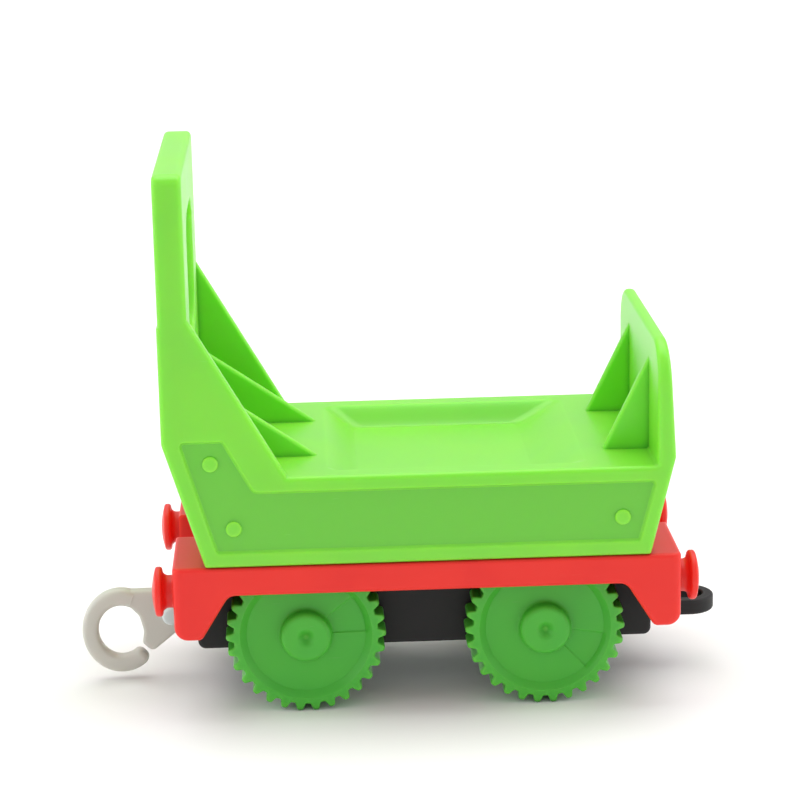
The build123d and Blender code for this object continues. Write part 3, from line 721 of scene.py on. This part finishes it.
def makeChassis(s):
    half, wide, edge = s["half"], s["halfWidth"], s["edge"]
    slopeTop = s["skirtInner"] - s["slopeRun"]
    corners = [(-half, s["skirtBottom"], 2.0), (-s["skirtInner"], s["skirtBottom"], 1.2),
               (-slopeTop, s["sill"], 2.0),
               (slopeTop, s["sill"], 2.0), (s["skirtInner"], s["skirtBottom"], 1.2),
               (half, s["skirtBottom"], 2.0),
               (half, s["top"], 0.6), (-half, s["top"], 0.6)]
    # rows across: the long edges turn in by a quarter circle, and the upright corners by a wider one
    turn = np.linspace(0, np.pi / 2, 8)
    high = [(wide - s["cornerRound"] * (1 - math.cos(a)),
             s["cornerRound"] * (1 - math.sin(a))) for a in turn]

    def inset(y):
        depth = max(0.0, edge - (wide - y))
        return edge - math.sqrt(max(edge ** 2 - depth ** 2, 0))

    rows = [(-y, inset(y)) for y, _ in high] + [(y, inset(y)) for y, _ in high[::-1]]

    def roundCorners(ring):
        depth = np.clip(s["cornerRound"] - (wide - np.abs(ring[:, 1])), 0, s["cornerRound"])
        pull = s["cornerRound"] - np.sqrt(s["cornerRound"] ** 2 - depth ** 2)
        outer = np.clip((np.abs(ring[:, 0]) - (half - 3.5)) / 1.5, 0, 1)
        ring[:, 0] -= np.sign(ring[:, 0]) * pull * outer * 0.75
        return ring

    base = slab("chassis", corners, rows, "side", 8, roundCorners)
    under = s["top"] - s["plate"]
    inner, endIn = wide - s["sillThick"], half - s["endThick"]
    adds, cuts = [], [boxSlab(-endIn, endIn, -inner, inner, s["skirtBottom"] - 1, under, 0.8)]
    y0, y1, reach = s["wheelSlot"]
    for x in s["axles"]:
        for side in (-1, 1):
            low, high = sorted((side * y0, side * y1))
            cuts.append(boxSlab(x - reach, x + reach, low, high, under - 0.5, s["top"] + 1, 0.6))
    for end in (-1, 1):
        a, b = sorted((end * (half - s["notchDepth"]), end * (half + 1)))
        notch = [(a, -s["notchHalf"], 0.5), (b, -s["notchHalf"], 0.5), (b, s["notchHalf"], 0.5),
                 (a, s["notchHalf"], 0.5)]
        cuts.append(slab("notch", notch, flaredEnds(s["skirtBottom"] - 2, s["top"], 0, 0.3), "top", 4))
        a, b = sorted((end * (endIn - 1), end * (half + 1)))
        cuts.append(boxSlab(a, b, -s["cornerHalf"], s["cornerHalf"], s["skirtBottom"] - 1,
                            s["endBeamBottom"], 0.4))
    base = combine(base, [], cuts)
    for end in (-1, 1):
        for side in (-1, 1):
            low, high = sorted((side * s["notchHalf"], side * (s["notchHalf"] + s["endThick"])))
            boxEnd = s["underFront"] if end < 0 else s["underRear"]
            a, b = sorted((boxEnd, end * (endIn + 0.5)))
            adds.append(boxSlab(a, b, low, high, s["endBeamBottom"], under + 0.5, 0.15))
            a, b = sorted((end * (endIn + 0.3), end * (endIn + 0.3 - s["bossLong"])))
            profile = [(s["bossRadius"], a), (s["bossRadius"], b)]
            adds.append(turned("boss", profile, (0, side * s["bufferY"], s["bufferZ"]), "x", 40))
    adds += [post(x, 0, low, under + 0.5, s["postRadius"]) for x, low in s["posts"]]
    return combine(base, adds)


finishPiece(makeChassis(chassis), "chassis_moulding", "redChassis", "wagon", ["chassis_frame"])


# ---- wheels

wheel = {
    "tip": 13.2, "root": 11.95, "teeth": 30, "outerY": 19.0, "thick": 5.0, "rimInner": 10.35,
    "rimSlope": 0.55,
    "webY": 18.0, "webThick": 1.8, "hub": 4.2, "hubFace": 20.3, "hubTurn": 0.95, "hubFoot": 0.55,
    "hubBack": 3.4, "backY": 13.7, "dimple": 1.75, "dimpleFloor": 19.2, "bore": 1.3, "steps": 16,
    "pocketStart": {"front": 1.0, "rear": -47.0}, "pocketAngle": 38.0, "pocketRise": -0.22,
    "pocketSoft": 2.2,
}


def toothShape(angle, s):
    # how far a tooth reaches out at an angle, from 0 in the gap to 1 on the tip: a rounded step on each flank
    step = 2 * np.pi / s["teeth"]
    # 0 in the middle of a tooth, 1 in the gap
    across = np.abs((angle + np.pi / 2) % step - step / 2) / (step / 2)
    rise = np.clip((0.74 - across) / (0.74 - 0.26), 0, 1)
    return rise * rise * (3 - 2 * rise) * (1 - 0.06 * np.clip(across / 0.3, 0, 1) ** 2)


def makeWheel(s, x, z, side, pocketStart):
    # One surface of two parameters: the angle round the axle and the place along a section that runs from
    # the blind end of the bore out behind the wheel, across the teeth and back over the rim, web and hub to
    # the dimple.  The radius of a section point grows by its tooth share times the tooth shape.
    tooth = s["tip"] - s["root"]
    outer, back = s["outerY"], s["outerY"] - s["thick"]
    bend = np.linspace(0, np.pi / 2, 7)
    wave = np.linspace(0, np.pi, 11)
    hub, face, web, top = s["hub"], s["hubFace"], s["webY"], s["hubTurn"]
    section = [(0, s["dimpleFloor"] - 0.9, 0), (s["bore"], s["dimpleFloor"] - 0.9, 0),
               (s["bore"], s["backY"], 0)]
    behind = [(s["hubBack"] - 0.9, s["backY"], 0), (s["hubBack"] - 0.8, s["backY"] + 0.1, 0),
              (s["hubBack"] - 0.7, back, 0), (s["hubBack"] - 0.2, back, 0), (s["hubBack"], back + 0.2, 0),
              (s["hubBack"], web - s["webThick"] - 0.3, 0), (s["hubBack"] + 0.3, web - s["webThick"], 0),
              (s["rimInner"] - 0.3, web - s["webThick"], 0), (s["rimInner"], web - s["webThick"] - 0.3, 0),
              (s["rimInner"], back + 0.3, 0), (s["rimInner"] + 0.3, back, 0)]
    behind += [(s["root"] - 0.3, back, 0.02), (s["root"] - 0.12, back + 0.04, 0.8),
               (s["root"] - 0.04, back + 0.15, 0.95),
               (s["root"], back + 0.35, 1.0)]
    behind += [(s["root"], outer - s["thick"] * f, 1.0) for f in (0.7, 0.5, 0.3)]
    behind += [(s["root"], outer - 0.5, 1.0), (s["root"] - 0.02, outer - 0.32, 0.975),
               (s["root"] - 0.06, outer - 0.18, 0.90), (s["root"] - 0.12, outer - 0.08, 0.72),
               (s["root"] - 0.18, outer - 0.03, 0.4), (s["root"] - 0.3, outer, 0.02),
               (s["root"] - 0.55, outer, 0)]
    section += behind
    # rim to web: half a cosine wave; hub: a fillet at its foot, a quarter circle at its crown, then
    # the dimple
    section += [(s["rimInner"] + s["rimSlope"] * math.cos(a),
                 (outer + web) / 2 + (outer - web) / 2 * math.cos(a), 0)
                for a in wave]
    section += [(r, web, 0) for r in (9.0, 8.0, 6.8, 5.7)]
    foot = s["hubFoot"]
    section += [(hub + foot - foot * math.sin(a), web + foot - foot * math.cos(a), 0) for a in bend]
    section += [(hub - top + top * math.cos(a), face - top + top * math.sin(a), 0) for a in bend]
    bowl, deep = s["dimple"], face - s["dimpleFloor"]
    section += [(bowl * f, face - deep * (1 + math.cos(math.pi * f)) / 2, 0)
                for f in (1.0, 0.85, 0.7, 0.55, 0.4, 0.25, 0.1)]
    section += [(0, s["dimpleFloor"], 0)]
    section = np.array(section)
    around = s["teeth"] * s["steps"]
    angle = np.linspace(-np.pi, np.pi, around, endpoint=False)
    radius = section[:, :1] + section[:, 2:] * tooth * toothShape(angle, s)
    depth = np.repeat(section[:, 1:2], around, 1)
    # one sector of the web is sunk: a steep-sided mask in angle and radius
    start, stop = np.radians(pocketStart), np.radians(pocketStart + s["pocketAngle"])
    middle, span = (start + stop) / 2, (stop - start) / 2
    aside = np.abs((angle - middle + np.pi) % (2 * np.pi) - np.pi)
    inSector = np.clip((span - aside) / np.radians(s["pocketSoft"]) + 0.5, 0, 1)
    inSector = inSector * inSector * (3 - 2 * inSector)
    nearWeb = np.clip(1 - (section[:, 1] - s["webY"]) / 0.5, 0, 1)
    reach, level = section[:, 0], section[:, 1]
    onWeb = (reach > s["hub"] - 0.01) & (reach < s["rimInner"] + 0.5) & (level > s["webY"] - 0.05)
    depth += (onWeb * nearWeb)[:, None] * inSector * s["pocketRise"]
    points = np.stack([x + radius * np.cos(angle), side * depth, z + radius * np.sin(angle)], 2)
    return makeMesh("wheel", points.reshape(-1, 3), gridFaces(len(section), around))


for end in ends:
    for side, way in sides.items():
        node = "wheel_" + end + "_" + side
        x, _, z = nodeMiddle(node)
        made = makeWheel(wheel, x, z, way, wheel["pocketStart"][end])
        finishPiece(made, "toothed_" + node, "greenWheel", "wheelset_" + end, [node], 40)


# ---- axles, hook pin and screws

steel = {"axle": 1.3, "axleHalf": 18.6, "pin": 1.2, "head": 2.2, "headHigh": 1.7, "seat": 19.5,
         "shank": 1.3,
         "top": 35.5, "slotLong": 1.3, "slotWide": 0.3, "slotDeep": 0.9}

for end in ends:
    r, reach = steel["axle"], steel["axleHalf"]
    profile = [(r - 0.25, -reach), (r, -reach + 0.25), (r, reach - 0.25), (r - 0.25, reach)]
    x, _, z = nodeMiddle("axle_" + end)
    rod = turned("axle", profile, (x, 0, z), "y", 48)
    finishPiece(rod, "turned_axle_" + end, "drawnSteel", "wheelset_" + end, ["axle_" + end], 20)

low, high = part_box("hook_pin")
pinX = nodeMiddle("hook_pin")[0]
r, z0, z1 = steel["pin"], low.z / mm, high.z / mm
rod = turned("pin", [(r - 0.2, z0), (r, z0 + 0.2), (r, z1 - 0.2), (r - 0.2, z1)], (pinX, 0, 0), "z", 48)
finishPiece(rod, "turned_hook_pin", "drawnSteel", "wagon", ["hook_pin"], 20)


def makeScrew(s, x, y):
    # pan head with a crowned edge and a cross slot, plain shank
    bottom = s["seat"] - s["headHigh"]
    turn = np.linspace(0, np.pi / 2, 6)
    profile = [(0.02, bottom)]
    profile += [(s["head"] - 0.7 + 0.7 * math.sin(a), bottom + 0.7 - 0.7 * math.cos(a)) for a in turn]
    profile += [(s["head"], s["seat"]), (s["shank"], s["seat"]), (s["shank"], s["top"] - 0.4),
                (s["shank"] - 0.4, s["top"])]
    body = turned("screw", profile, (x, y, 0), "z", 48)
    long, wide = s["slotLong"], s["slotWide"]
    cross = []
    for reachA, reachB in ((long, wide), (wide, long)):
        box = np.array([(-reachA, -reachB), (reachA, -reachB), (reachA, reachB), (-reachA, reachB)])
        spin = math.radians(45)
        box = box @ np.array([[math.cos(spin), math.sin(spin)], [-math.sin(spin), math.cos(spin)]])
        corners = [(x + a, y + b, 0.08) for a, b in box]
        cross.append(slab("slot", corners, [(bottom - 1, 0), (bottom + s["slotDeep"], 0.06)], "top", 2))
    return combine(body, [], cross)


for end in ends:
    for side in sides:
        node = "screw_" + end + "_" + side
        x, y, _ = nodeMiddle(node)
        made = makeScrew(steel, x, y)
        finishPiece(made, "cross_slot_" + node, "drawnSteel", "wagon", [node], 30)


# ---- underframe

underframe = {
    "frontX": -38.0, "rearX": 37.8, "half": 13.5, "bottom": 9.5, "top": 25.0, "wall": 1.8, "corner": 1.3,
    "edge": 0.4, "frontSlot": 6.3, "rearSlot": 3.6, "rearSlotTop": 13.9,
    "screwX": 27.0, "screwY": 8.0, "pillar": 3.3, "well": 2.4, "hole": 1.5, "seat": 19.5,
    "bearing": 3.0, "bearingInner": 9.0, "axleHole": 1.36, "pinX": chassis["posts"][0][0], "pinHole": 1.2,
}


def makeUnderframe(s, axles):
    corners = [(s["frontX"], s["bottom"], s["corner"]), (s["rearX"], s["bottom"], s["corner"]),
               (s["rearX"], s["top"], 0.1), (s["frontX"], s["top"], 0.1)]
    base = slab("underframe", corners, softEnds(-s["half"], s["half"], s["edge"], s["edge"]), "side", 8)
    x0, x1, y1 = s["frontX"] + s["wall"], s["rearX"] - s["wall"], s["half"] - s["wall"]
    floor = s["bottom"] + s["wall"]
    base = combine(base, [], [
        boxSlab(x0, x1, -y1, y1, floor, s["top"] + 1, 0.6),
        boxSlab(s["frontX"] - 1, x0 + 1, -s["frontSlot"], s["frontSlot"], floor, s["top"] + 1),
        boxSlab(x1 - 1, s["rearX"] + 1, -s["rearSlot"], s["rearSlot"], floor, s["rearSlotTop"])])
    adds, cuts = [], []
    for side in (-1, 1):
        for end in (-1, 1):
            x, y = end * s["screwX"], side * s["screwY"]
            adds.append(post(x, y, s["bottom"] + 0.2, s["top"], s["pillar"]))
            well = [(s["well"] + 0.25, s["bottom"] - 1), (s["well"] + 0.25, s["bottom"]),
                    (s["well"], s["bottom"] + 0.25),
                    (s["well"], s["seat"]), (s["hole"], s["seat"]), (s["hole"], s["top"] + 1)]
            cuts.append(turned("well", well, (x, y, 0), "z", 48))
        for x, z in axles:
            low, high = sorted((side * s["bearingInner"], side * (s["half"] - 0.3)))
            adds.append(turned("bearing", [(s["bearing"], low), (s["bearing"], high)], (x, 0, z), "y", 48))
    for x, z in axles:
        reach = s["half"] + 1
        cuts.append(turned("axleHole", [(s["axleHole"], -reach), (s["axleHole"], reach)], (x, 0, z),
                           "y", 48))
    cuts.append(post(s["pinX"], 0, s["bottom"] - 1, floor + 1, s["pinHole"]))
    return combine(base, adds, cuts)


axlePlaces = [nodeMiddle("axle_" + end)[::2] for end in ends]
finishPiece(makeUnderframe(underframe, axlePlaces), "underframe_tub", "blackUnderframe", "wagon",
            ["underframe"])


# ---- buffers

buffer = {"face": 45.0, "root": chassis["half"], "y": chassis["bufferY"], "z": chassis["bufferZ"],
          "head": 4.1, "neck": 2.7, "thick": 1.75, "dome": 0.55,
          "rim": 0.45, "spigot": 1.6, "spigotLong": 3.4}


def makeBuffer(s, end, side):
    # mushroom: spigot, waisted neck that swells into the flange, round rim, shallow dome on the face
    backFace = s["face"] - s["thick"]
    neck, head, rim = s["neck"], s["head"], s["rim"]
    swell = head - rim - neck
    bend = np.linspace(0, np.pi / 2, 9)
    profile = [(0.02, s["root"] - s["spigotLong"]), (s["spigot"] - 0.2, s["root"] - s["spigotLong"]),
               (s["spigot"], s["root"] - s["spigotLong"] + 0.2), (s["spigot"], s["root"] - 0.02),
               (neck + 0.25, s["root"] - 0.02), (neck + 0.07, s["root"] + 0.12), (neck, s["root"] + 0.35)]
    profile += [(neck + swell * (1 - math.cos(a)), backFace - swell * (1 - math.sin(a))) for a in bend]
    profile += [(head - rim + rim * math.sin(a), backFace + rim * (1 - math.cos(a))) for a in bend[1:]]
    high = s["face"] - s["dome"] - rim
    profile += [(head - rim + rim * math.cos(a), high + rim * math.sin(a)) for a in bend]
    edge = head - rim
    profile += [(edge * f, s["face"] - s["dome"] * f * f) for f in (0.9, 0.75, 0.55, 0.35, 0.15, 0.006)]
    profile = [(r, end * p) for r, p in profile]
    return turned("buffer", profile, (0, side * s["y"], s["z"]), "x", 72)


for end, endWay in ends.items():
    for side, way in sides.items():
        node = "buffer_" + end + "_" + side
        finishPiece(makeBuffer(buffer, endWay, way), "mushroom_" + node, "redChassis", "wagon", [node],
                    50)


# ---- hook

hook = {
    "ringX": -51.6, "ringZ": 8.75, "outX": 6.7, "outZ": 7.45, "inX": 3.9, "inZ": 4.45, "ringThick": 2.8,
    "tipAngle": -41.0, "joinAngle": -292.0,
    "plateThick": 2.4, "plateEdge": 0.55, "top": 15.9,
    "pivotX": underframe["pinX"], "eye": 3.0, "eyeHole": 1.26, "eyeLow": 11.45, "eyeHigh": 15.2,
    "lugX": -42.9, "lugZ": 11.4, "lug": 1.6, "lugProud": 0.9,
}


def makeRing(s):
    # a round-cornered section carried along the middle line of an elliptical ring, from the free tip over
    # the bottom, outside and top; the section shrinks to a point at the tip by a half ellipse
    around = 36
    turn = np.linspace(0, 2 * np.pi, around, endpoint=False)
    power = 2 / 3.4   # a super-ellipse: between a circle and a square
    across = np.sign(np.cos(turn)) * np.abs(np.cos(turn)) ** power
    along = np.sign(np.sin(turn)) * np.abs(np.sin(turn)) ** power
    start, stop = math.radians(s["tipAngle"]), math.radians(s["joinAngle"])
    tipLong = math.radians(13)
    tip = np.linspace(0, np.pi / 2, 12)
    t = np.concatenate([start - tipLong * (1 - np.cos(tip)), np.linspace(start - tipLong, stop, 80)[1:]])
    scale = np.ones(len(t))
    scale[:12] = np.sin(tip) ** 0.85
    scale[0] = 0.01
    midX, midZ = (s["outX"] + s["inX"]) / 2, (s["outZ"] + s["inZ"]) / 2
    wideX, wideZ = (s["outX"] - s["inX"]) / 2, (s["outZ"] - s["inZ"]) / 2
    radial = across[None, :] * scale[:, None]
    points = np.zeros((len(t), around, 3))
    points[:, :, 0] = s["ringX"] + (midX + wideX * radial) * np.cos(t)[:, None]
    points[:, :, 1] = along[None, :] * scale[:, None] * s["ringThick"] / 2
    points[:, :, 2] = s["ringZ"] + (midZ + wideZ * radial) * np.sin(t)[:, None]
    return makeMesh("ring", points.reshape(-1, 3), closedFaces(len(t), around))


def makeHook(s):
    x, z = s["ringX"], s["ringZ"]
    plate = [
        (x + 9.0, z - 0.85, 0.8), (s["pivotX"] - 4.7, s["eyeLow"], 0.8), (s["pivotX"], s["eyeLow"], 0.3),
        (s["pivotX"], s["eyeHigh"], 0.3), (s["pivotX"] - 4.8, s["eyeHigh"], 1.0), (x + 10.8, s["top"], 1.0),
        (x + 5.6, s["top"], 1.5), (x, z + s["outZ"] - 0.35, 0.4), (x, z + 4.75, 0.4),
        (x + 1.7, z + 4.15, 1.5),
        (x + 3.2, z + 2.55, 2.0), (x + 3.85, z - 0.15, 2.0), (x + 3.55, z - 2.3, 0.7),
        (x + 5.2, z - 3.9, 1.0)]
    half = s["plateThick"] / 2
    base = slab("plate", plate, softEnds(-half, half, s["plateEdge"], s["plateEdge"]), "side", 6)
    rim = 0.3
    eye = [(s["eyeHole"], s["eyeLow"]), (s["eye"] - rim, s["eyeLow"]), (s["eye"], s["eyeLow"] + rim),
           (s["eye"], s["eyeHigh"] - rim), (s["eye"] - rim, s["eyeHigh"]), (s["eyeHole"], s["eyeHigh"])]
    solid = [(0.02, s["eyeLow"])] + eye[1:-1] + [(0.02, s["eyeHigh"])]
    adds = [makeRing(s), turned("eye", solid, (s["pivotX"], 0, 0), "z", 56)]
    cuts = [post(s["pivotX"], 0, s["eyeLow"] - 1, s["eyeHigh"] + 1, s["eyeHole"])]
    return combine(base, adds, cuts)


finishPiece(makeHook(hook), "grey_hook", "greyHook", "hook", ["coupling_hook"], 40)
lugHalf = hook["plateThick"] / 2 + hook["lugProud"]
lugTurn = np.linspace(0, np.pi / 2, 8)
lugEnd = [(hook["lug"] - 0.5 + 0.5 * math.cos(a), lugHalf - 0.5 + 0.5 * math.sin(a)) for a in lugTurn]
lugEnd.append((0.02, lugHalf))
lugProfile = [(r, -p) for r, p in lugEnd[::-1]] + lugEnd
lugPiece = turned("lug", lugProfile, (hook["lugX"], 0, hook["lugZ"]), "y", 48)
finishPiece(lugPiece, "hook_lug", "paleLug", "hook", [], 50)


# ---- rear loop

loop = {
    "end": 50.4, "half": 4.5, "bar": 1.9, "bottom": 9.5, "top": 12.2, "eyeX": 43.0, "edge": 0.45,
    "wallX": 37.8, "tongueHalf": 3.6, "tongueTop": 13.9, "tongueEnd": 30.5, "floor": 11.3, "pegX": 33.2,
    "pegHole": 1.4,
}


def makeLoop(s):
    half, hole = s["half"], s["half"] - s["bar"]
    bow = s["end"] - half
    outer = [(s["wallX"], -half, 0.1), (s["end"], -half, half - 0.01), (s["end"], half, half - 0.01),
             (s["wallX"], half, 0.1)]
    base = slab("loop", outer, softEnds(s["bottom"], s["top"], s["edge"], s["edge"]), "top", 16)
    inner = [(s["eyeX"], -hole, 0.4), (bow + hole, -hole, hole - 0.01), (bow + hole, hole, hole - 0.01),
             (s["eyeX"], hole, 0.4)]
    eye = slab("eye", inner, flaredEnds(s["bottom"], s["top"], 0.35, 0.35), "top", 12)
    neck = [(s["wallX"], -s["tongueHalf"], 0.2), (s["eyeX"] - 1.2, -s["tongueHalf"], 0.8),
            (s["eyeX"] - 1.2, s["tongueHalf"], 0.8), (s["wallX"], s["tongueHalf"], 0.2)]
    rise = slab("rise", neck, softEnds(s["bottom"] + 0.3, s["tongueTop"], 0.1, 0.5), "top", 5)
    tongue = [(s["tongueEnd"], -s["tongueHalf"], 0.3), (s["wallX"] + 0.5, -s["tongueHalf"], 0.1),
              (s["wallX"] + 0.5, s["tongueHalf"], 0.1), (s["tongueEnd"], s["tongueHalf"], 0.3)]
    tail = slab("tail", tongue, softEnds(s["floor"], s["tongueTop"], 0.2, 0.2, 3), "top", 4)
    peg = post(s["pegX"], 0, s["floor"] - 1, s["tongueTop"] + 1, s["pegHole"])
    return combine(base, [rise, tail], [eye, peg])


finishPiece(makeLoop(loop), "rear_loop_bar", "blackUnderframe", "wagon", ["rear_loop"])


# ---- floor

floorHalf = 4.0
floorMesh = bpy.data.meshes.new("floor")
floorMesh.from_pydata([(-floorHalf, -floorHalf, 0), (floorHalf, -floorHalf, 0), (floorHalf, floorHalf, 0),
                       (-floorHalf, floorHalf, 0)], [], [(0, 1, 2, 3)])
floorPiece = bpy.data.objects.new("floor", floorMesh)
bpy.context.scene.collection.objects.link(floorPiece)
floorPiece.data.materials.append(materials["paleFloor"])
print("floor laid")
